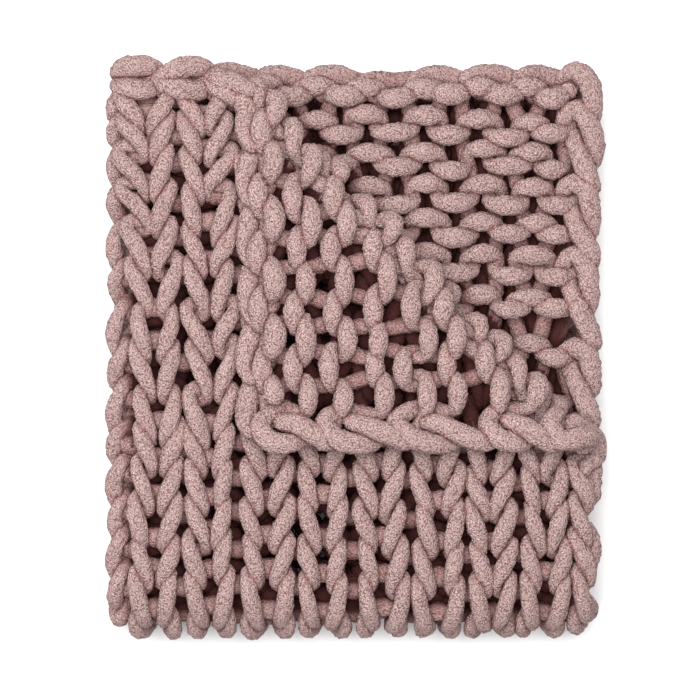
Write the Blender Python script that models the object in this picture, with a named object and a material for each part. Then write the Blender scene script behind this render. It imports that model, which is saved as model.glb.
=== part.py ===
"""A chunky chenille throw in stocking stitch, folded in quarters with one corner turned back.

The throw is one knitted piece. It is modelled flat first, as a slab with raised stitches, and
is then folded: the near corner over its diagonal, the left half under, the lower half under.
On the flat piece s runs across the stitches and t along them, both from where the folds cross.
"""

import math

import bmesh
import bpy

# The knit, in metres
STITCH_WIDTH = 0.0700
STITCH_LENGTH = 0.0495
STITCHES_ACROSS_HALF = 9
ROWS_IN_HALF = 15
FIRST_STITCH_CENTRE = 0.022
BODY_HALF_THICKNESS = 0.0145

# The folds
LAYER_STEP = 0.037
SIDE_FOLD_RADIUS = LAYER_STEP / 2
END_FOLD_RADIUS = LAYER_STEP
CORNER_FOLD_RADIUS = 0.0200
CORNER_REACH = 0.520
CORNER_SKEW = 0.945

# Raised stitches: a leg of each V on the knit face, a pair of bumps to each on the purl face
LEG_RISE = 0.0065
LEG_FALL = 0.0080
LEG_SPREAD = 0.0100
PIT_DEPTH = 0.0090
BUMP_RISE = 0.0060
DIP_DEPTH = 0.0085
SHALLOW_DIP = 0.55
BUMP_WAVE = 0.0040
EDGE_CORD_RISE = 0.0030
EDGE_CORD_WIDTH = 0.0240
EDGE_WAVE = 0.0035

# Where in a row the head of a stitch, its waist and its tucked foot lie, as shares of its length
HEAD_PHASE = 0.12
WAIST_PHASE = 0.48
FOOT_PHASE = 0.84
UPPER_BUMP_REACH = 0.36
LOWER_BUMP_REACH = 0.28

# The raised stitches fade out over this length where the folds hide them
FADE = 0.030

# How finely the bends are divided, and the flat rows that stay hidden
SIDE_FOLD_STEPS = 6
END_FOLD_STEPS = 8
CORNER_FOLD_STEPS = 5
HIDDEN_ROWS = 6
CREASE_SNAP = 0.0025

HALF_WIDTH = STITCHES_ACROSS_HALF * STITCH_WIDTH
HALF_LENGTH = ROWS_IN_HALF * STITCH_LENGTH
SIDE_BEND = math.pi * SIDE_FOLD_RADIUS / 2
END_BEND = math.pi * END_FOLD_RADIUS / 2
CORNER_BEND = math.pi * CORNER_FOLD_RADIUS
REST_LEVEL = END_FOLD_RADIUS + SIDE_FOLD_RADIUS + BODY_HALF_THICKNESS

ROSE = (0.50, 0.30, 0.29, 1.0)


def clear_scene():
    for obj in list(bpy.data.objects):
        bpy.data.objects.remove(obj, do_unlink=True)


def between(value, low, high):
    """How far value has gone from low to high, from 0 to 1, with soft ends."""
    share = min(max((value - low) / (high - low), 0.0), 1.0)
    return share * share * (3.0 - 2.0 * share)


def stitch_phase(s):
    """Across a stitch, from -0.5 at one side to 0.5 at the other, 0 at its centre."""
    stitches = (s - FIRST_STITCH_CENTRE) / STITCH_WIDTH
    return stitches - round(stitches)


def row_phase(t):
    """Down a row, from 0 at its top to 1: the throw is knitted from the top edge down."""
    return (HALF_LENGTH - t) / STITCH_LENGTH % 1.0


def beyond_corner_fold(s, t):
    """Distance past the line where the turned corner starts to bend.

    The corner is turned back a little further down its side edge than along its top edge.
    """
    return (CORNER_REACH - (HALF_WIDTH - s) - (HALF_LENGTH - t) * CORNER_SKEW) / math.sqrt(2.0)


def hat(distance, reach):
    """1 at no distance, falling evenly to 0 at reach, for a distance that comes round every 1."""
    return max(0.0, 1.0 - abs((distance + 0.5) % 1.0 - 0.5) / reach)


def across_lines():
    """Where the grid's lines stand across the throw: at the legs, centres and sides of stitches."""
    quarters = [FIRST_STITCH_CENTRE + STITCH_WIDTH * quarter / 4
                for quarter in range(-4 * STITCHES_ACROSS_HALF - 4, 4 * STITCHES_ACROSS_HALF + 4)]
    bend = [SIDE_BEND * (2 * step / SIDE_FOLD_STEPS - 1) for step in range(SIDE_FOLD_STEPS + 1)]
    room = STITCH_WIDTH / 10
    flat = [s for s in quarters if SIDE_BEND + room < abs(s) < HALF_WIDTH - room]
    return sorted([-HALF_WIDTH] + flat + bend + [HALF_WIDTH])


def along_lines():
    """Where the grid's lines stand along the throw: three to a row where the rows show."""
    top = [HALF_LENGTH - STITCH_LENGTH * (row + phase)
           for row in range(ROWS_IN_HALF) for phase in (HEAD_PHASE, WAIST_PHASE, FOOT_PHASE)]
    bend = [END_BEND * (2 * step / END_FOLD_STEPS - 1) for step in range(END_FOLD_STEPS + 1)]
    hidden_length = HALF_LENGTH - END_BEND
    under = [-END_BEND - hidden_length * step / HIDDEN_ROWS for step in range(1, HIDDEN_ROWS + 1)]
    top = [t for t in top if t > END_BEND + STITCH_LENGTH / 10]
    return sorted(under + bend + top + [HALF_LENGTH])


def knit_face(s, t):
    """The knit face's shift across and its rise: two slanted legs to a stitch, with pits between."""
    p = stitch_phase(s)
    leg = (1.0 - math.cos(4.0 * math.pi * p)) / 2.0
    side = (1.0 - math.cos(2.0 * math.pi * p)) / 2.0 * (1.0 - leg)
    down = min(max((row_phase(t) - HEAD_PHASE) / (FOOT_PHASE - HEAD_PHASE), 0.0), 1.0)
    shown = between(s, -SIDE_BEND, 0.0) * between(t, -END_BEND, 0.0)
    shown *= 1.0 - between(beyond_corner_fold(s, t), -FADE, 0.0)
    rise = leg * (LEG_RISE - (LEG_RISE + LEG_FALL) * down * down)
    rise -= PIT_DEPTH * side * (1.0 - 0.5 * down)
    shift = LEG_SPREAD * leg * (2.0 * down - 1.0) * (1.0 if p > 0 else -1.0)
    return shift * shown * away_from_edges(s, t), rise * shown


def purl_face(s, t):
    """The purl face's shift along and its rise: rows of bumps set like bricks, dips between."""
    p = stitch_phase(s)
    q = row_phase(t)
    centre = (1.0 + math.cos(2.0 * math.pi * p)) / 2.0
    upper = hat(q - WAIST_PHASE, UPPER_BUMP_REACH)
    lower = hat(q - FOOT_PHASE, LOWER_BUMP_REACH)
    bump = centre * upper + (1.0 - centre) * lower
    dip = hat(q - HEAD_PHASE, LOWER_BUMP_REACH) * (SHALLOW_DIP + (1.0 - SHALLOW_DIP) * centre)
    bared = CORNER_BEND / 3.0 if s > 0.0 else CORNER_FOLD_RADIUS + BODY_HALF_THICKNESS
    beyond = beyond_corner_fold(abs(s), t)
    shown = between(beyond, bared, bared + CORNER_BEND / 3.0)
    wave = BUMP_WAVE * (2.0 * centre - 1.0) * upper
    return wave * shown * away_from_edges(s, t), (BUMP_RISE * bump - DIP_DEPTH * dip) * shown


def away_from_edges(s, t):
    inset = min(HALF_WIDTH - abs(s), HALF_LENGTH - abs(t))
    return between(inset, 0.0, EDGE_CORD_WIDTH)


def edge_cord(s, t):
    """The rise of the cast-on, cast-off and side edges, thicker than the rest but in the folds."""
    off_side_fold = between(abs(s), SIDE_BEND, SIDE_BEND + FADE)
    off_end_fold = between(abs(t), END_BEND, END_BEND + FADE)
    return EDGE_CORD_RISE * (1.0 - away_from_edges(s, t)) * off_side_fold * off_end_fold


def edge_wave(s, t):
    """The edges bulge out a little at each row and each stitch."""
    at_side = 1.0 - between(HALF_WIDTH - abs(s), 0.0, EDGE_CORD_WIDTH)
    at_end = 1.0 - between(HALF_LENGTH - abs(t), 0.0, EDGE_CORD_WIDTH)
    out = EDGE_WAVE * math.cos(2.0 * math.pi * (row_phase(t) - WAIST_PHASE)) * at_side
    along = EDGE_WAVE * math.cos(2.0 * math.pi * stitch_phase(s)) * at_end
    return math.copysign(out, s), math.copysign(along, t)


def turn_corner(s, t, n):
    """The near corner laid back over its diagonal, knit face inwards."""
    beyond = beyond_corner_fold(s, t)
    if beyond <= 0.0:
        return s, t, n
    if beyond < CORNER_BEND:
        angle = beyond / CORNER_FOLD_RADIUS
        out = CORNER_FOLD_RADIUS * math.sin(angle) - n * math.sin(angle)
        up = CORNER_FOLD_RADIUS * (1.0 - math.cos(angle)) + n * math.cos(angle)
    else:
        out = CORNER_BEND - beyond
        up = 2.0 * CORNER_FOLD_RADIUS - n
    step = (out - beyond) / math.sqrt(2.0)
    return s + step, t + step / CORNER_SKEW, up


def fold_under(along, level, radius):
    """Half of a sheet carried round a half circle and back below the other half."""
    bend = math.pi * radius / 2
    if along > bend:
        return along - bend, radius + level
    if along < -bend:
        return -along - bend, -radius - level
    angle = along / radius
    return -(radius + level) * math.cos(angle), (radius + level) * math.sin(angle)


def folded(s, t, n):
    """A point of the flat throw, n above its middle, where the three folds carry it."""
    s, t, n = turn_corner(s, t, n)
    x, level = fold_under(s, n, SIDE_FOLD_RADIUS)
    y, z = fold_under(t, level, END_FOLD_RADIUS)
    return x, y, max(z + REST_LEVEL, 0.0)


def flat_sheet():
    """The flat throw's middle, a grid with lines at the stitches and creases at the turned corner."""
    across = across_lines()
    along = along_lines()
    bm = bmesh.new()
    bmesh.ops.create_grid(bm, x_segments=len(across) - 1, y_segments=len(along) - 1, size=1.0)
    for vert in bm.verts:
        column = round((vert.co.x + 1.0) / 2.0 * (len(across) - 1))
        row = round((vert.co.y + 1.0) / 2.0 * (len(along) - 1))
        vert.co = (across[column], along[row], 0.0)
    for step in range(CORNER_FOLD_STEPS + 1):
        past = CORNER_BEND * step / CORNER_FOLD_STEPS - beyond_corner_fold(0.0, 0.0)
        place = past * math.sqrt(2.0) / (1.0 + CORNER_SKEW)
        bmesh.ops.bisect_plane(bm, geom=bm.verts[:] + bm.edges[:] + bm.faces[:], dist=CREASE_SNAP,
                               plane_co=(place, place, 0.0), plane_no=(1.0, CORNER_SKEW, 0.0))
    return bm


def knitted_throw(collection):
    bm = flat_sheet()
    bmesh.ops.solidify(bm, geom=bm.faces[:], thickness=BODY_HALF_THICKNESS)
    middle = sum(vert.co.z for vert in bm.verts) / len(bm.verts)
    for vert in bm.verts:
        s, t, knit = vert.co.x, vert.co.y, vert.co.z > middle
        out, along = edge_wave(s, t)
        if knit:
            shift, rise = knit_face(s, t)
            level = BODY_HALF_THICKNESS + rise + edge_cord(s, t)
            vert.co = folded(s + shift + out, t + along, level)
        else:
            shift, rise = purl_face(s, t)
            level = -BODY_HALF_THICKNESS - rise - edge_cord(s, t)
            vert.co = folded(s + out, t + shift + along, level)
    bmesh.ops.recalc_face_normals(bm, faces=bm.faces[:])
    mesh = bpy.data.meshes.new("throw")
    bm.to_mesh(mesh)
    bm.free()
    mesh.materials.append(chenille())
    throw = bpy.data.objects.new("throw", mesh)
    collection.objects.link(throw)
    return throw


def chenille():
    material = bpy.data.materials.new("chenille")
    material.use_nodes = True
    shader = material.node_tree.nodes["Principled BSDF"]
    shader.inputs["Base Color"].default_value = ROSE
    shader.inputs["Roughness"].default_value = 0.95
    shader.inputs["Metallic"].default_value = 0.0
    return material


def centre_on_floor(throw):
    """The origin is put under the middle of the folded throw."""
    xs = [vert.co.x for vert in throw.data.vertices]
    ys = [vert.co.y for vert in throw.data.vertices]
    middle = ((min(xs) + max(xs)) / 2, (min(ys) + max(ys)) / 2)
    for vert in throw.data.vertices:
        vert.co.x -= middle[0]
        vert.co.y -= middle[1]


def main():
    clear_scene()
    collection = bpy.data.collections.new("chenille_throw")
    bpy.context.scene.collection.children.link(collection)
    centre_on_floor(knitted_throw(collection))


main()
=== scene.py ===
import math

import bpy
import numpy as np
from mathutils.bvhtree import BVHTree
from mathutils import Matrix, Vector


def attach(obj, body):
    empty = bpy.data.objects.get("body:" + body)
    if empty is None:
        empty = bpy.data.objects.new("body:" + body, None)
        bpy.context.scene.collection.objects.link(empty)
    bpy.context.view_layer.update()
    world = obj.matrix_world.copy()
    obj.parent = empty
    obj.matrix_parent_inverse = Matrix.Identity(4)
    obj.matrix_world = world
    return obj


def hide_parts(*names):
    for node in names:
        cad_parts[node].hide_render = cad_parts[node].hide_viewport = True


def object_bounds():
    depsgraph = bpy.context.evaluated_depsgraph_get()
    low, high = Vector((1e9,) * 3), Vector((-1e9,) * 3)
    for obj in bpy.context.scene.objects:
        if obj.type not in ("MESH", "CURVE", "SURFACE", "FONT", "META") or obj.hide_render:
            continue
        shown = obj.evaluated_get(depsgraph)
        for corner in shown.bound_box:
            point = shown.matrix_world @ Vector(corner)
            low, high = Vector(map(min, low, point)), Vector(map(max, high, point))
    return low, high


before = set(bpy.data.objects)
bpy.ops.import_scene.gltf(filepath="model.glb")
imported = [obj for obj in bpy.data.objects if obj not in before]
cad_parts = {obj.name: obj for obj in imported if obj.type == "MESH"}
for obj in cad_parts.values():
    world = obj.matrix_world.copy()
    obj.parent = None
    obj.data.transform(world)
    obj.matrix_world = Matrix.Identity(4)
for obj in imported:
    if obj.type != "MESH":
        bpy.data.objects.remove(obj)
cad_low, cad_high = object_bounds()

# Chenille yarn
# Jumbo polyester chenille, about 26 mm thick: short dense pile stands out all round a core.
# It is dyed one dusty rose, darker and redder between the tufts where the pile opens.

YARN_RADIUS = 0.0130
TUFT_SIZE = 0.0024
TUFT_SWAY = 0.004
TUFT_TOP = 0.20
TUFT_FOOT = 0.80
DEEPEST = 0.80
FIBRE_DETAIL = 2.0
FIBRE_ROUGHNESS = 0.6
WASH_SCALE = 9.0
PILE_HEIGHT = 0.0090
PILE_CLUMP = 0.0042
PILE_DETAIL = 2.0
PILE_BUMP = 0.0045
YARN_SEED = 11.0
LOWEST_PLACE = (-10.0, -10.0, 0.0)
ROSE_TIP = (0.806, 0.582, 0.558, 1.0)
ROSE_WASH = (0.734, 0.516, 0.494, 1.0)
ROSE_ROOT = (0.130, 0.042, 0.037, 1.0)
# Painted shade: a red mid shade and a near black, for yarn deep between strands and layers and in
# creases.
ROSE_PAINTED_SHADE = (0.340, 0.085, 0.072, 1.0)
ROSE_PAINTED_DARK = (0.052, 0.005, 0.004, 1.0)
ROSE_SHEEN = (0.95, 0.80, 0.78, 1.0)


def pile_group():
    """Masks of the pile: how deep between the tufts, how high the fibres stand, and a broad wash."""
    group = bpy.data.node_groups.new("chenille_pile", "ShaderNodeTree")
    group.interface.new_socket("Tuft Size", in_out="INPUT", socket_type="NodeSocketFloat")
    for name in ("Depth", "Height", "Wash"):
        group.interface.new_socket(name, in_out="OUTPUT", socket_type="NodeSocketFloat")
    nodes, links = group.nodes, group.links
    given = nodes.new("NodeGroupInput")
    out = nodes.new("NodeGroupOutput")
    place = nodes.new("ShaderNodeTexCoord")
    per_metre = nodes.new("ShaderNodeMath")
    per_metre.operation = "DIVIDE"
    per_metre.inputs[0].default_value = 1.0
    links.new(given.outputs["Tuft Size"], per_metre.inputs[1])

    fibres = nodes.new("ShaderNodeTexNoise")
    fibres.inputs["Detail"].default_value = FIBRE_DETAIL
    fibres.inputs["Roughness"].default_value = FIBRE_ROUGHNESS
    links.new(place.outputs["Object"], fibres.inputs["Vector"])
    links.new(per_metre.outputs[0], fibres.inputs["Scale"])
    sway = nodes.new("ShaderNodeVectorMath")
    sway.operation = "MULTIPLY_ADD"
    sway.inputs[1].default_value = (TUFT_SWAY, TUFT_SWAY, TUFT_SWAY)
    links.new(fibres.outputs["Color"], sway.inputs[0])
    links.new(place.outputs["Object"], sway.inputs[2])
    tufts = nodes.new("ShaderNodeTexVoronoi")
    tufts.feature = "F1"
    links.new(sway.outputs["Vector"], tufts.inputs["Vector"])
    links.new(per_metre.outputs[0], tufts.inputs["Scale"])

    depth = nodes.new("ShaderNodeMapRange")
    depth.inputs["From Min"].default_value = TUFT_TOP
    depth.inputs["From Max"].default_value = TUFT_FOOT
    depth.inputs["To Min"].default_value = 0.0
    depth.inputs["To Max"].default_value = DEEPEST
    links.new(tufts.outputs["Distance"], depth.inputs["Value"])
    links.new(depth.outputs["Result"], out.inputs["Depth"])

    height = nodes.new("ShaderNodeMath")
    height.operation = "MULTIPLY_ADD"
    height.inputs[1].default_value = -1.0
    links.new(tufts.outputs["Distance"], height.inputs[0])
    links.new(fibres.outputs["Fac"], height.inputs[2])
    links.new(height.outputs[0], out.inputs["Height"])

    wash = nodes.new("ShaderNodeTexNoise")
    wash.inputs["Scale"].default_value = WASH_SCALE
    wash.inputs["Detail"].default_value = FIBRE_DETAIL
    links.new(place.outputs["Object"], wash.inputs["Vector"])
    links.new(wash.outputs["Fac"], out.inputs["Wash"])
    return group


def mixed_colour(nodes, links, share, low, high):
    """A mix of two colours, or of a colour and another node's, by the share that a node gives."""
    mix = nodes.new("ShaderNodeMix")
    mix.data_type = "RGBA"
    links.new(share, mix.inputs["Factor"])
    for socket, colour in ((mix.inputs["A"], low), (mix.inputs["B"], high)):
        if isinstance(colour, tuple):
            socket.default_value = colour
        else:
            links.new(colour, socket)
    return mix.outputs["Result"]


def chenille_yarn():
    """Rose tufts, redder at the root; painted shade deep between strands and in creases goes first to a
    red shade, then to near black.
    """
    material = bpy.data.materials.new("chenille_yarn")
    material.use_nodes = True
    nodes, links = material.node_tree.nodes, material.node_tree.links
    shader = nodes["Principled BSDF"]
    pile = nodes.new("ShaderNodeGroup")
    pile.node_tree = pile_group()
    pile.inputs["Tuft Size"].default_value = TUFT_SIZE
    tone = mixed_colour(nodes, links, pile.outputs["Wash"], ROSE_WASH, ROSE_TIP)
    colour = mixed_colour(nodes, links, pile.outputs["Depth"], tone, ROSE_ROOT)
    # Painted shade: by this attribute the colour goes to a red shade, then to near black, deep between
    # strands and in creases.
    painted_shade = nodes.new("ShaderNodeAttribute")
    painted_shade.attribute_name = "painted_shade"
    shade_tone = mixed_colour(nodes, links, painted_shade.outputs["Fac"], ROSE_PAINTED_SHADE, ROSE_PAINTED_DARK)
    deep = mixed_colour(nodes, links, painted_shade.outputs["Fac"], colour, shade_tone)
    links.new(deep, shader.inputs["Base Color"])
    bump = nodes.new("ShaderNodeBump")
    bump.inputs["Strength"].default_value = 1.0
    bump.inputs["Distance"].default_value = PILE_BUMP
    links.new(pile.outputs["Height"], bump.inputs["Height"])
    links.new(bump.outputs["Normal"], shader.inputs["Normal"])
    shader.inputs["Roughness"].default_value = 0.95
    shader.inputs["Specular IOR Level"].default_value = 0.04
    shader.inputs["Sheen Weight"].default_value = 0.06
    shader.inputs["Sheen Roughness"].default_value = 0.6
    shader.inputs["Sheen Tint"].default_value = ROSE_SHEEN
    return material


YARN_MATERIAL = chenille_yarn()


def spinning_tree():
    """Yarn round a path: a tube of the path's girth, its pile uneven, pressed flat on the ground."""
    tree = bpy.data.node_groups.new("chenille_spinning", "GeometryNodeTree")
    tree.interface.new_socket("Geometry", in_out="INPUT", socket_type="NodeSocketGeometry")
    tree.interface.new_socket("Sides", in_out="INPUT", socket_type="NodeSocketInt")
    tree.interface.new_socket("Pile Height", in_out="INPUT", socket_type="NodeSocketFloat")
    tree.interface.new_socket("Clump Size", in_out="INPUT", socket_type="NodeSocketFloat")
    tree.interface.new_socket("Seed", in_out="INPUT", socket_type="NodeSocketFloat")
    tree.interface.new_socket("Geometry", in_out="OUTPUT", socket_type="NodeSocketGeometry")
    nodes, links = tree.nodes, tree.links
    given = nodes.new("NodeGroupInput")
    out = nodes.new("NodeGroupOutput")
    path = nodes.new("GeometryNodeMeshToCurve")
    links.new(given.outputs["Geometry"], path.inputs["Mesh"])
    ring = nodes.new("GeometryNodeCurvePrimitiveCircle")
    ring.inputs["Radius"].default_value = 1.0
    links.new(given.outputs["Sides"], ring.inputs["Resolution"])
    girth = nodes.new("GeometryNodeInputNamedAttribute")
    girth.data_type = "FLOAT"
    girth.inputs["Name"].default_value = "girth"
    tube = nodes.new("GeometryNodeCurveToMesh")
    tube.inputs["Fill Caps"].default_value = True
    links.new(path.outputs["Curve"], tube.inputs["Curve"])
    links.new(ring.outputs["Curve"], tube.inputs["Profile Curve"])
    links.new(girth.outputs["Attribute"], tube.inputs["Scale"])

    per_metre = nodes.new("ShaderNodeMath")
    per_metre.operation = "DIVIDE"
    per_metre.inputs[0].default_value = 1.0
    links.new(given.outputs["Clump Size"], per_metre.inputs[1])
    tufts = nodes.new("ShaderNodeTexNoise")
    tufts.noise_dimensions = "4D"
    tufts.inputs["Detail"].default_value = PILE_DETAIL
    links.new(given.outputs["Seed"], tufts.inputs["W"])
    links.new(per_metre.outputs[0], tufts.inputs["Scale"])
    centred = nodes.new("ShaderNodeMath")
    centred.operation = "SUBTRACT"
    centred.inputs[1].default_value = 0.5
    links.new(tufts.outputs["Fac"], centred.inputs[0])
    height = nodes.new("ShaderNodeMath")
    height.operation = "MULTIPLY"
    links.new(centred.outputs[0], height.inputs[0])
    links.new(given.outputs["Pile Height"], height.inputs[1])
    normal = nodes.new("GeometryNodeInputNormal")
    offset = nodes.new("ShaderNodeVectorMath")
    offset.operation = "SCALE"
    links.new(normal.outputs["Normal"], offset.inputs["Vector"])
    links.new(height.outputs[0], offset.inputs["Scale"])
    fluffed = nodes.new("GeometryNodeSetPosition")
    links.new(tube.outputs["Mesh"], fluffed.inputs["Geometry"])
    links.new(offset.outputs["Vector"], fluffed.inputs["Offset"])

    place = nodes.new("GeometryNodeInputPosition")
    ground = nodes.new("ShaderNodeVectorMath")
    ground.operation = "MAXIMUM"
    ground.inputs[1].default_value = LOWEST_PLACE
    links.new(place.outputs["Position"], ground.inputs[0])
    rested = nodes.new("GeometryNodeSetPosition")
    links.new(fluffed.outputs["Geometry"], rested.inputs["Geometry"])
    links.new(ground.outputs["Vector"], rested.inputs["Position"])
    smooth = nodes.new("GeometryNodeSetShadeSmooth")
    links.new(rested.outputs["Geometry"], smooth.inputs["Geometry"])
    real = nodes.new("GeometryNodeRealizeInstances")
    links.new(smooth.outputs["Geometry"], real.inputs["Geometry"])
    finish = nodes.new("GeometryNodeSetMaterial")
    finish.inputs["Material"].default_value = YARN_MATERIAL
    links.new(real.outputs["Geometry"], finish.inputs["Geometry"])
    links.new(finish.outputs["Geometry"], out.inputs["Geometry"])
    return tree


SPINNING = spinning_tree()


def spun_yarn(name, path, sides):
    """One finished length of yarn, spun along its path: a row of points with x, y, z and girth."""
    run = np.arange(len(path) - 1)
    mesh = bpy.data.meshes.new(name)
    mesh.from_pydata(path[:, :3].tolist(), np.stack([run, run + 1], axis=1).tolist(), [])
    girth = mesh.attributes.new("girth", "FLOAT", "POINT")
    girth.data.foreach_set("value", path[:, 3].astype(np.float32))
    piece = bpy.data.objects.new(name, mesh)
    bpy.context.scene.collection.objects.link(piece)
    spin = piece.modifiers.new("spinning", "NODES")
    spin.node_group = SPINNING
    values = {"Sides": sides, "Pile Height": PILE_HEIGHT, "Clump Size": PILE_CLUMP, "Seed": YARN_SEED}
    for item in SPINNING.interface.items_tree:
        if item.in_out == "INPUT" and item.name in values:
            spin[item.identifier] = values[item.name]
    finished = bpy.data.meshes.new_from_object(piece.evaluated_get(bpy.context.evaluated_depsgraph_get()))
    piece.modifiers.remove(spin)
    piece.data = finished
    bpy.data.meshes.remove(mesh)
    return piece


# The stitches
# Stocking stitch, hand knitted from the top edge down: each loop's feet come up through the loop
# above, its legs lie on the knit face, and its head and the link to the next loop on the purl face.

HALF_WIDTH = 0.630
HALF_LENGTH = 0.7425
STITCHES_IN_HALF = 9
ROWS = 29
ROW_TABLES = (
    # across from the side fold, insets of the first rows from the cast-on edge
    (-0.150, (0.063, 0.104, 0.154, 0.198, 0.249, 0.295, 0.352, 0.410, 0.458)),
    (-0.020, (0.070, 0.108, 0.152, 0.201, 0.250, 0.301, 0.352, 0.405, 0.462)),
    (0.150, (0.070, 0.108, 0.152, 0.201, 0.250, 0.301, 0.352, 0.405, 0.462)),
    (0.380, (0.074, 0.119, 0.170, 0.226, 0.272, 0.331, 0.380, 0.424, 0.468)),
)
FOLD_ROW = 14
FOLD_ROW_INSET = 0.750
LOWER_ROW_PITCH = 0.0484
TOP_STITCH_SIDES = (-0.018, 0.053, 0.125, 0.200, 0.275, 0.351, 0.425, 0.493, 0.559, 0.620)
UNDER_STITCH_SIDES = (0.603, 0.543, 0.476, 0.406, 0.336, 0.268, 0.203, 0.138, 0.068)
FLAP_SHIFT = ((0, 0.0), (6, 0.035), (9, 0.020))

HEAD_OVERLAP = 0.0215
ARC_FLATNESS = 0.10
KNIT_WAIST = ((0, 0.0200), (6, 0.0175), (12, 0.0145))
PURL_WAIST = 0.0125
LEG_LIFT = 0.0120
FOOT_LIFT = 0.0030
PRESSED_LIFT = 0.65
PRESSED_FADE = 0.03
FULL_GIRTH = 1.02
PINCH = 0.24
PINCH_SHARPNESS = 1.5
DEEP_LEG_THINNING = 0.16
KNIT_LEG_THINNING = 0.15
PRESSED_SPREAD = 0.10

CORNER_REACH = 0.520
CORNER_SKEW = 0.945
PURL_START = -0.01
PURL_FADE = 0.04

# What the hand varies, each as seed, most each way, and swell in stitches or rows.
UNEVEN_WAIST = (1, 0.22, 1.5)
UNEVEN_REACH = (2, 0.07, 1.6)
UNEVEN_ACROSS = (3, 0.0035, 1.1)
DRIFT_ACROSS = (4, 0.0050, 6.0)
UNEVEN_ALONG = (5, 0.0040, 1.3)
DRIFT_ALONG = (6, 0.0050, 5.0)
UNEVEN_LEVEL = (7, 0.0016, 1.2)
UNEVEN_GIRTH = (8, 0.05, 0.8)
WAVES = 7
SHORTEST_WAVE = 0.8
LONGEST_WAVE = 1.8
WAVES_PEAK = 1.6


def by_hand(unevenness, u, v):
    """Smooth unevenness of the hand over u and v, from its seed, most each way, and swell."""
    seed, most, swell = unevenness
    rng = np.random.default_rng(seed)
    total = 0.0
    for _ in range(WAVES):
        turn, phase = rng.uniform(0.0, 2.0 * math.pi, 2)
        rate = 2.0 * math.pi / (swell * rng.uniform(SHORTEST_WAVE, LONGEST_WAVE))
        total = total + np.sin(rate * (u * math.cos(turn) + v * math.sin(turn)) + phase)
    return most * (total / math.sqrt(WAVES / 2.0) / WAVES_PEAK)


def stitch_side(u):
    """Where across the flat throw the side of stitch u stands, counted from the side fold."""
    known = [-side for side in UNDER_STITCH_SIDES] + list(TOP_STITCH_SIDES)
    return np.interp(u, range(-STITCHES_IN_HALF, STITCHES_IN_HALF + 1), known)


def row_place(row, s):
    """Where along the flat throw a row stands: near the side fold the first rows are drawn together."""
    insets = []
    for _, first in ROW_TABLES:
        rows = list(range(len(first))) + [FOLD_ROW, ROWS]
        last = FOLD_ROW_INSET + LOWER_ROW_PITCH * (ROWS - FOLD_ROW)
        insets.append(float(np.interp(row, rows, list(first) + [FOLD_ROW_INSET, last])))
    return HALF_LENGTH - np.interp(s, [across for across, _ in ROW_TABLES], insets)


def beyond_corner_fold(s, t):
    """How far a place of the flat throw lies past the diagonal over which its corner is laid back."""
    return (CORNER_REACH - (HALF_WIDTH - s) - (HALF_LENGTH - t) * CORNER_SKEW) / math.sqrt(2.0)


def purl_shows(s, t):
    """Share of the purl face on view: on the turned corner and on the layer that it bares."""
    return np.clip((beyond_corner_fold(np.abs(s), t) - PURL_START) / PURL_FADE, 0.0, 1.0)


def on_top(s, t):
    """Share not pressed by a layer above, so that the stitches keep their height."""
    return np.clip(s / PRESSED_FADE + 0.5, 0.0, 1.0) * np.clip(t / PRESSED_FADE + 0.5, 0.0, 1.0)


def shifted(u, purl):
    """How far the stitches of the laid-back corner are drawn away from the side edge."""
    return purl * np.interp(u, [at for at, _ in FLAP_SHIFT], [shift for _, shift in FLAP_SHIFT])


def stitched(u, row):
    """Points of the flat throw along row at stitch positions u: across, along, level and girth."""
    turn = 2.0 * math.pi * u
    side = stitch_side(u)
    purl = purl_shows(side, row_place(row, side))
    waist = np.interp(row, [at for at, _ in KNIT_WAIST], [wide for _, wide in KNIT_WAIST])
    waist = (waist + (PURL_WAIST - waist) * purl) * (1.0 + by_hand(UNEVEN_WAIST, u, row))
    pitch = row_place(max(row - 0.5, 0.0), side) - row_place(min(row + 0.5, ROWS - 1.0), side)
    pitch = pitch * (2.0 if row in (0, ROWS - 1) else 1.0)
    reach = (HEAD_OVERLAP + pitch) / 2 * (1.0 + by_hand(UNEVEN_REACH, u, row))
    arc = (np.cos(turn) - ARC_FLATNESS * np.cos(3.0 * turn)) / (1.0 - ARC_FLATNESS)
    s = side + waist * np.sin(2.0 * turn)
    t = row_place(row, side) + reach * arc
    n = -LEG_LIFT * np.cos(2.0 * turn) + FOOT_LIFT * np.cos(turn) + by_hand(UNEVEN_LEVEL, u, row)
    free = np.maximum(purl, on_top(s, t))
    n = n * (PRESSED_LIFT + (1.0 - PRESSED_LIFT) * free)
    s = s - shifted(u, purl) + by_hand(UNEVEN_ACROSS, u, row) + by_hand(DRIFT_ACROSS, u, row)
    t = t + by_hand(UNEVEN_ALONG, u, row) + by_hand(DRIFT_ALONG, u, row)
    pinch = PINCH * np.abs(np.sin(2.0 * turn)) ** PINCH_SHARPNESS
    thinning = KNIT_LEG_THINNING + (DEEP_LEG_THINNING - KNIT_LEG_THINNING) * purl
    pinch = pinch + thinning * np.sin(turn) ** 2
    girth = YARN_RADIUS * (FULL_GIRTH - pinch + PRESSED_SPREAD * (1.0 - free))
    girth = girth * (1.0 + by_hand(UNEVEN_GIRTH, u, row))
    return np.stack([s, t, n, girth], axis=1)


# The folds
# The throw is folded in quarters: the left half under, then the lower half under, four layers
# thick. The near corner of the top layer is laid back over its diagonal, purl face up.

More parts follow.
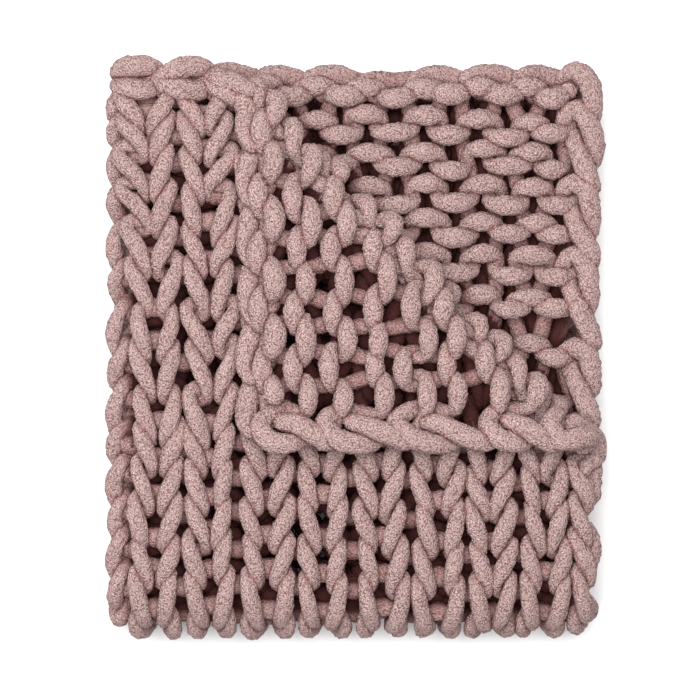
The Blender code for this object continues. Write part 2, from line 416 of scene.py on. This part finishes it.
SIDE_FOLD_RADIUS = 0.0185
END_FOLD_RADIUS = 0.0370
CORNER_FOLD_RADIUS = 0.0200
REST_LEVEL = 0.0700
EDGE_WAVE = 0.0035
CURL_WIDTH = 0.050
CURL_RADIUS = 0.080
CURL_ANGLE = 0.38
SIDE_SHIFT = 0.0030
SIDE_BEND = math.pi * SIDE_FOLD_RADIUS / 2
END_BEND = math.pi * END_FOLD_RADIUS / 2
CORNER_BEND = math.pi * CORNER_FOLD_RADIUS
MIDDLE_X = HALF_WIDTH - SIDE_BEND + EDGE_WAVE + SIDE_SHIFT - cad_high.x
MIDDLE_Y = HALF_LENGTH - END_BEND + EDGE_WAVE - cad_high.y


def turn_corner(s, t, n):
    """The near corner laid back over its diagonal."""
    beyond = beyond_corner_fold(s, t)
    angle = np.clip(beyond / CORNER_FOLD_RADIUS, 0.0, math.pi)
    out = np.minimum(beyond, 0.0) + (CORNER_FOLD_RADIUS - n) * np.sin(angle)
    out = out - np.maximum(beyond - CORNER_BEND, 0.0)
    up = CORNER_FOLD_RADIUS * (1.0 - np.cos(angle)) + n * np.cos(angle)
    step = (out - beyond) / math.sqrt(2.0)
    return s + step, t + step / CORNER_SKEW, up


def curl_sides(s, n):
    """The side edges of stocking stitch curl towards the purl face."""
    past = np.maximum(np.abs(s) - (HALF_WIDTH - CURL_WIDTH), 0.0)
    angle = np.minimum(past / CURL_RADIUS, CURL_ANGLE)
    rest = past - angle * CURL_RADIUS
    out = (CURL_RADIUS + n) * np.sin(angle) + rest * np.cos(angle)
    level = (CURL_RADIUS + n) * np.cos(angle) - CURL_RADIUS - rest * np.sin(angle)
    return np.sign(s) * (np.minimum(np.abs(s), HALF_WIDTH - CURL_WIDTH) + out), level


def fold_under(along, level, radius):
    """One half folded under the other round a soft bend: the new place and level."""
    bend = math.pi * radius / 2
    angle = np.clip(along / radius, -math.pi / 2, math.pi / 2)
    flat = np.maximum(np.abs(along) - bend, 0.0)
    return flat - (radius + level) * np.cos(angle), (radius + level) * np.sin(angle)


def folded(points):
    """Points of the flat throw carried to where the folds lay them, girth kept."""
    s, n = curl_sides(points[:, 0], points[:, 2])
    s, t, n = turn_corner(s, points[:, 1], n)
    x, level = fold_under(s, n, SIDE_FOLD_RADIUS)
    y, z = fold_under(t, level, END_FOLD_RADIUS)
    return np.stack([x - MIDDLE_X, y - MIDDLE_Y, z + REST_LEVEL, points[:, 3]], axis=1)


# The knitted bands
# The throw takes a ball of yarn for every few rows. Each ball is knitted to and fro: at a side
# edge the yarn turns down into the next row, and the last turn joins it to the next ball.

FINE_STEPS = 54
COARSE_STEPS = 14
LEAST_STEP = 0.001
FINE_SIDES = 24
COARSE_SIDES = 8
EDGE_STITCH = 0.07
END_ROWS = 0.10
CORNER_MARGIN = 0.05
FOLD_MARGIN = 0.02
TURN_STEPS = 16
TURN_BULGE = 0.0060
TURN_RISE = 0.0030
JOIN_OVERLAP = 0.12
JOIN_STEPS = 7
YARN_END_GIRTH = 0.02
HOOK_STEPS = 6
HOOK_FROM = 8.75
HOOK_TO = 8.62
HOOK_LEAD = 0.05
HOOK_PITCH = 0.05
UNEVEN_HOOK_ACROSS = (31, 0.003, 1.5)
UNEVEN_HOOK_ALONG = (32, 0.003, 1.5)
HOOK_PATH = (
    # in from the side edge, share of the way down to the next row, level, girth
    (0.040, -0.52, -0.004, 0.84),
    (0.023, -0.74, -0.010, 1.00),
    (0.006, -0.48, -0.010, 1.06),
    (0.000, 0.00, -0.008, 1.02),
    (0.003, 0.42, 0.002, 0.84),
    (0.015, 0.62, 0.012, 0.74),
    (0.025, 0.24, 0.010, 0.74),
    (0.031, -0.10, -0.002, 0.84),
    (0.021, 0.34, -0.010, 1.02),
    (0.007, 0.86, -0.011, 1.06),
    (0.002, 1.28, -0.003, 0.92),
    (0.018, 1.42, 0.010, 0.74),
)
BALLS = (
    # name, first row, rows, whether it shows
    ("rows_from_first_ball", 0, 3, True),
    ("rows_from_second_ball", 3, 3, True),
    ("rows_from_third_ball", 6, 3, True),
    ("rows_from_fourth_ball", 9, 3, True),
    ("rows_from_fifth_ball", 12, 4, True),
    ("rows_from_sixth_ball", 16, 4, False),
    ("rows_from_seventh_ball", 20, 4, False),
    ("rows_from_eighth_ball", 24, 5, False),
)


def shows(stitch, row):
    """Whether a stitch can be seen: on the top, in the bared corner, at an edge or in a fold."""
    s = float(stitch_side(stitch + 0.5))
    t = float(row_place(row, s))
    at_edge = HALF_WIDTH - abs(s) < EDGE_STITCH or HALF_LENGTH - abs(t) < END_ROWS
    if t > 0.0 and (s > -SIDE_BEND or beyond_corner_fold(-s, t) > -CORNER_MARGIN):
        return True
    return at_edge or abs(t) < END_BEND + FOLD_MARGIN or abs(s) < SIDE_BEND + FOLD_MARGIN


def knitted_row(row, left, right, fine):
    """A row's points between two stitch positions, closer together where it shows."""
    stations = []
    for stitch in range(-STITCHES_IN_HALF, STITCHES_IN_HALF):
        steps = FINE_STEPS if fine and shows(stitch, row) else COARSE_STEPS
        stations.append(stitch + np.arange(steps) / steps)
    stations = np.concatenate(stations)
    stations = stations[(stations > left + LEAST_STEP) & (stations < right - LEAST_STEP)]
    return stitched(np.concatenate([[left], stations, [right]]), row)


def smooth_run(marks, steps):
    """Points of a smooth path through all the marks but the first and last, steps to each."""
    before, start, end, after = (marks[shift:len(marks) - 3 + shift, None, :] for shift in range(4))
    share = (np.arange(steps) / steps)[None, :, None]
    bend = (2.0 * before - 5.0 * start + 4.0 * end - after) * share ** 2
    twist = (3.0 * (start - end) + after - before) * share ** 3
    return (start + 0.5 * ((end - before) * share + bend + twist)).reshape(-1, marks.shape[1])


def hooked(row, side):
    """Whether the purl face shows at this end of a row, so that its turn is a hook."""
    edge = side * HALF_WIDTH
    return float(purl_shows(edge, row_place(row + 0.5, edge))) > 0.5


def edge_hook(row, side):
    """The turn on the purl face: over the last stitch, down the edge, back and along it again."""
    edge = side * HALF_WIDTH
    here, following = row_place(row, edge), row_place(row + 1, edge)
    lead = stitched(side * np.array([HOOK_FROM - HOOK_LEAD, HOOK_FROM]), row)
    after = stitched(side * np.array([HOOK_TO, HOOK_TO - HOOK_LEAD]), row + 1)
    hook = np.array([(edge - side * inset, here + (following - here) * down, level, YARN_RADIUS * girth)
                     for inset, down, level, girth in HOOK_PATH])
    along = hook[:, 1] / HOOK_PITCH
    hook[:, 0] += by_hand(UNEVEN_HOOK_ACROSS, along, side)
    hook[:, 1] += by_hand(UNEVEN_HOOK_ALONG, along, side)
    return smooth_run(np.concatenate([lead, hook, after]), HOOK_STEPS)[1:]


def edge_turn(end, start, outwards):
    """The yarn's turn at a side edge, bulging out from the end of a row to the start of the next."""
    share = (np.arange(1, TURN_STEPS) / TURN_STEPS)[:, None]
    bow = np.sin(math.pi * share[:, 0])
    points = end * (1.0 - share) + start * share
    points[:, 0] += outwards * TURN_BULGE * bow
    points[:, 2] += TURN_RISE * bow
    return points


def rounded_ends(points):
    """The same points with the girth drawn in to almost nothing at both ends of the yarn."""
    steps = np.linalg.norm(np.diff(points[:, :3], axis=0), axis=1)
    along = np.concatenate([[0.0], np.cumsum(steps)])
    from_end = np.clip(np.minimum(along, along[-1] - along) / YARN_RADIUS, 0.0, 1.0)
    points[:, 3] *= np.sqrt(np.maximum(1.0 - (1.0 - from_end) ** 2, YARN_END_GIRTH))
    return points


def knitted_band(first, rows, fine):
    """One ball's yarn: rows to and fro with their turns, and the turn into the next ball's row."""
    run = []
    for row in range(first, first + rows):
        ahead = 1.0 if row % 2 == 0 else -1.0
        entered = HOOK_TO if row > 0 and hooked(row - 1, -ahead) else STITCHES_IN_HALF
        hook = row + 1 < ROWS and hooked(row, ahead)
        left = HOOK_FROM if hook else STITCHES_IN_HALF
        points = knitted_row(row, *sorted((-ahead * entered, ahead * left)), fine)
        run.append(points[::int(ahead)])
        if hook:
            run.append(edge_hook(row, ahead))
        elif row + 1 < ROWS:
            following = stitched(np.array([ahead * STITCHES_IN_HALF]), row + 1)[0]
            run.append(edge_turn(run[-1][-1], following, ahead))
    if first + rows < ROWS:
        start = HOOK_TO if hook else STITCHES_IN_HALF
        run.append(stitched(ahead * (start - np.linspace(0.0, JOIN_OVERLAP, JOIN_STEPS)), first + rows))
    return folded(rounded_ends(np.concatenate(run)))


def part_of_throw(piece):
    """The piece put in its place in the throw."""
    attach(piece, "root")
    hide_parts("throw")
    return piece


BANDS = [part_of_throw(spun_yarn(name, knitted_band(first, rows, fine),
                                 FINE_SIDES if fine else COARSE_SIDES))
         for name, first, rows, fine in BALLS]


# Cast-on and cast-off edges
# The throw begins and ends with a chain: each loop is drawn through the one before it. Two strands
# of a link lie side by side on the knit face, and the strand to the next link on the purl face.

FINE_LINK_STEPS = 7
COARSE_LINK_STEPS = 3
LAST_LINK_REACH = 0.070
TUCK_AT_FOLD = 0.011
TUCK_WIDTH = 0.050
UNEVEN_CHAIN_ALONG = (21, 0.0030, 1.2)
UNEVEN_CHAIN_ACROSS = (22, 0.003, 2.0)
UNEVEN_CHAIN_GIRTH = (23, 0.05, 1.0)
CHAIN_PLACES = (
    # across from the side fold, inset of the chain, spread of its strands
    (-0.60, 0.027, 0.90),
    (-0.38, 0.033, 0.65),
    (-0.20, 0.028, 0.80),
    (0.05, 0.029, 1.00),
    (0.30, 0.038, 1.00),
)
LINK_PATH = (
    # share of a stitch along the edge, out across the edge, level, girth
    (0.02, 0.002, 0.003, 0.66),
    (0.26, 0.006, 0.014, 0.96),
    (0.56, 0.014, 0.018, 1.08),
    (0.94, 0.017, 0.008, 0.96),
    (1.20, 0.006, -0.003, 0.72),
    (0.92, -0.013, 0.009, 0.94),
    (0.56, -0.014, 0.018, 1.08),
    (0.26, -0.007, 0.014, 0.96),
    (0.04, -0.002, 0.004, 0.66),
    (0.16, -0.012, 0.004, 0.76),
    (0.32, -0.020, -0.010, 0.98),
    (0.50, -0.023, -0.015, 1.06),
    (0.68, -0.020, -0.010, 0.98),
    (0.84, -0.012, 0.004, 0.76),
)
TAIL_PATH = (
    # in from the side edge, in from the end edge, level, girth
    (0.010, 0.104, 0.010, 0.76),
    (0.006, 0.088, 0.004, 0.84),
    (-0.001, 0.058, -0.008, 1.02),
    (0.003, 0.030, -0.011, 1.08),
    (0.022, 0.014, -0.006, 1.00),
    (0.040, 0.020, 0.004, 0.78),
)


def chain_edge(end, steps):
    """A chain along the end of the flat throw, end being 1 at the cast-on and -1 at the cast-off."""
    marks = np.array([(link + share, out, level, girth)
                      for link in range(-STITCHES_IN_HALF, STITCHES_IN_HALF)
                      for share, out, level, girth in LINK_PATH])
    u, t, n, girth = smooth_run(marks, steps).T
    side = stitch_side(u) + np.sign(u) * LAST_LINK_REACH * np.maximum(np.abs(u) - STITCHES_IN_HALF, 0.0)
    s = side - shifted(u, purl_shows(side, end * HALF_LENGTH)) + by_hand(UNEVEN_CHAIN_ACROSS, u, end)
    across, insets, spreads = zip(*CHAIN_PLACES)
    t = end * (HALF_LENGTH - np.interp(side, across, insets) + t * np.interp(side, across, spreads))
    t = t + by_hand(UNEVEN_CHAIN_ALONG, u, end)
    n = n - TUCK_AT_FOLD * np.exp(-(side / TUCK_WIDTH) ** 2)
    girth = YARN_RADIUS * girth * (1.0 + by_hand(UNEVEN_CHAIN_GIRTH, u, end))
    chain = np.stack([s, t, n, girth], axis=1)
    tail = np.array([(inset - HALF_WIDTH, end * (HALF_LENGTH - down), level, YARN_RADIUS * girth)
                     for inset, down, level, girth in TAIL_PATH])
    tail = smooth_run(np.concatenate([tail, chain[:2]]), steps)
    return folded(rounded_ends(np.concatenate([tail, chain])))


CAST_ON = part_of_throw(spun_yarn("cast_on_edge", chain_edge(1.0, FINE_LINK_STEPS), FINE_SIDES))
CAST_OFF = part_of_throw(spun_yarn("cast_off_edge", chain_edge(-1.0, COARSE_LINK_STEPS), COARSE_SIDES))


# The painted shade
# Painted shade darkens the yarn deep between the strands and layers, and along each line where two
# strands press on each other: first to a red shade, then to near black. Each piece carries its share of
# it.

# Heights above the table under which the yarn of each place gets painted shade.
TOP_LEVEL = 0.1280
FLAP_LEVEL = 0.1655
FOLD_LEVEL = 0.1050
BARED_LEVEL = 0.0900
# Where the laid-back corner, its fold and the bared layer begin.
FLAP_INSET = 0.058
FLAP_DEPTH = 0.507
FLAP_FADE = 0.030
FOLD_START = -0.020
BARED_START = 0.060
END_FOLD_REACH = 0.0555
PAINTED_SHADE_START = -0.009
PAINTED_SHADE_FADE = 0.022
PAINTED_SHADE_POWER = 1.3
PAINTED_SHADE_MOST = 0.99
RIM = 0.012
RIM_FADE = 0.030
GROUND_RIM = 0.01
GROUND_FADE = 0.02
TOUCH_REACH = 0.0062
TOUCH_START = 0.0008
CREASE_SHADE_MOST = 0.85
LOOK_ACROSS = (0.36, 0.48, 0.80)
LEAST_LENGTH = 1e-6


def painted_shade_by_depth(places):
    """Share of painted shade, darkening to near black: all of it deep between strands, none outside."""
    x, y, z = places.T
    beyond = CORNER_REACH - (cad_high.x - x) - (cad_high.y - y) * CORNER_SKEW
    past_side = np.clip((x - cad_high.x + CORNER_REACH - FLAP_INSET) / FLAP_FADE, 0.0, 1.0)
    past_end = np.clip((y - cad_high.y + FLAP_DEPTH) / FLAP_FADE, 0.0, 1.0)
    level = TOP_LEVEL + (FLAP_LEVEL - TOP_LEVEL) * past_side * past_end
    level = np.where(beyond > FOLD_START, FOLD_LEVEL, level)
    level = np.where(beyond > BARED_START, BARED_LEVEL, level)
    deep = level - z
    end_fold = END_FOLD_REACH - np.hypot(y + MIDDLE_Y, z - REST_LEVEL)
    deep = np.where(y < -MIDDLE_Y, np.minimum(deep, end_fold), deep)
    side_fold = SIDE_FOLD_RADIUS - np.hypot(x + MIDDLE_X, np.abs(z - REST_LEVEL) - END_FOLD_RADIUS)
    deep = np.where(x < -MIDDLE_X, np.minimum(deep, side_fold), deep)
    inside = np.minimum(cad_high.x - x, cad_high.y - y)
    shown = np.clip((inside - RIM) / RIM_FADE, 0.0, 1.0)
    shown = shown * np.clip((z - GROUND_RIM) / GROUND_FADE, 0.0, 1.0)
    return PAINTED_SHADE_MOST * np.clip((deep - PAINTED_SHADE_START) / PAINTED_SHADE_FADE, 0.0, 1.0) ** PAINTED_SHADE_POWER * shown


def mesh_values(items, name, kind=np.float32):
    """A mesh's values of one name, three to a row."""
    values = np.empty(3 * len(items), dtype=kind)
    items.foreach_get(name, values)
    return values.reshape(-1, 3)


def all_strands(pieces):
    """The surface of all the yarn, to look for in any direction."""
    places, corners = [], []
    count = 0
    for piece in pieces:
        piece.data.calc_loop_triangles()
        corners.append(mesh_values(piece.data.loop_triangles, "vertices", np.int32) + count)
        places.append(mesh_values(piece.data.vertices, "co"))
        count += len(places[-1])
    return BVHTree.FromPolygons(np.concatenate(places).tolist(), np.concatenate(corners).tolist(),
                                all_triangles=True)


def ways_to_look(ahead):
    """The ways to look from each point of the pile: straight out, and aslant to four sides."""
    across = np.cross(ahead, LOOK_ACROSS)
    across /= np.maximum(np.linalg.norm(across, axis=1, keepdims=True), LEAST_LENGTH)
    along = np.cross(ahead, across)
    slants = [(ahead + way) / math.sqrt(2.0) for way in (across, -across, along, -along)]
    return [ahead] + slants


def open_distance(strands, starts, ways):
    """How far it is open that way, up to the reach of a touching strand."""
    hits = [strands.ray_cast(start, way, TOUCH_REACH)[3]
            for start, way in zip(starts.tolist(), ways.tolist())]
    return np.array([TOUCH_REACH if hit is None else hit for hit in hits])


def painted_shade_by_touch(mesh, strands):
    """Share of painted crease shade, darker where another strand lies close in front of it."""
    ahead = mesh_values(mesh.vertex_normals, "vector")
    starts = mesh_values(mesh.vertices, "co") + TOUCH_START * ahead
    gaps = np.min([open_distance(strands, starts, ways) for ways in ways_to_look(ahead)], axis=0)
    return CREASE_SHADE_MOST * (1.0 - gaps / TOUCH_REACH)


def paint_shade_on_pile(pieces, touched):
    """Give each piece its share of painted shade, with painted crease shade from other strands on those
    touched.
    """
    strands = all_strands(pieces)
    for piece in pieces:
        share = painted_shade_by_depth(mesh_values(piece.data.vertices, "co"))
        if piece in touched:
            share = np.maximum(share, painted_shade_by_touch(piece.data, strands))
        painted_shade = piece.data.attributes.new("painted_shade", "FLOAT", "POINT")
        painted_shade.data.foreach_set("value", share.astype(np.float32))


FINE_BANDS = [band for band, (_, _, _, fine) in zip(BANDS, BALLS) if fine]
# Painted shade on every piece, deep between strands and layers, with painted crease shade on the fine
# bands and the cast-on edge.
paint_shade_on_pile(BANDS + [CAST_ON, CAST_OFF], FINE_BANDS + [CAST_ON])


# Table, light and camera
# The folded throw lies on a plain pale table, under broad soft light, seen straight from above.

TABLE_HALF = 4.0
TABLE_LEVEL = -0.0005
TABLE_PAINT = (0.92, 0.92, 0.92, 1.0)
KEY_PLACE = (-0.22, 0.32, 2.6)
KEY_SIZE = 2.0
KEY_POWER = 148.0
ROOM_LIGHT = 0.32
CAMERA_HEIGHT = 3.2
LOOK_LEVEL = 0.14
PICTURE_WIDTH = 0.9060
CAMERA_X = -0.0030
CAMERA_Y = 0.0030
SENSOR_WIDTH = 36.0


def table_top():
    """A wide pale table just under the throw."""
    mesh = bpy.data.meshes.new("table_top")
    corners = [(across * TABLE_HALF, along * TABLE_HALF, TABLE_LEVEL)
               for across, along in ((-1, -1), (1, -1), (1, 1), (-1, 1))]
    mesh.from_pydata(corners, [], [(0, 1, 2, 3)])
    table = bpy.data.objects.new("table_top", mesh)
    bpy.context.scene.collection.objects.link(table)
    material = bpy.data.materials.new("pale_table")
    material.use_nodes = True
    shader = material.node_tree.nodes["Principled BSDF"]
    shader.inputs["Base Color"].default_value = TABLE_PAINT
    shader.inputs["Roughness"].default_value = 0.9
    mesh.materials.append(material)


def key_light():
    """One broad soft lamp high above the throw, turned to it."""
    light = bpy.data.lights.new("key", "AREA")
    light.shape = "SQUARE"
    light.size = KEY_SIZE
    light.energy = KEY_POWER
    lamp = bpy.data.objects.new("key", light)
    lamp.location = KEY_PLACE
    bpy.context.scene.collection.objects.link(lamp)
    direction = -lamp.location.normalized()
    lamp.rotation_euler = direction.to_track_quat("-Z", "Y").to_euler()


def room_light():
    """Even white light from all round."""
    world = bpy.data.worlds.new("studio")
    world.use_nodes = True
    background = world.node_tree.nodes["Background"]
    background.inputs["Color"].default_value = (1.0, 1.0, 1.0, 1.0)
    background.inputs["Strength"].default_value = ROOM_LIGHT
    bpy.context.scene.world = world


def camera_above():
    """The camera straight above, the throw in the middle of its picture."""
    lens = bpy.data.cameras.new("camera")
    lens.sensor_width = SENSOR_WIDTH
    lens.lens = lens.sensor_width * (CAMERA_HEIGHT - LOOK_LEVEL) / PICTURE_WIDTH
    camera = bpy.data.objects.new("camera", lens)
    camera.location = (CAMERA_X, CAMERA_Y, CAMERA_HEIGHT)
    bpy.context.scene.collection.objects.link(camera)
    bpy.context.scene.camera = camera


table_top()
key_light()
room_light()
bpy.context.scene.view_settings.view_transform = "Standard"
camera_above()
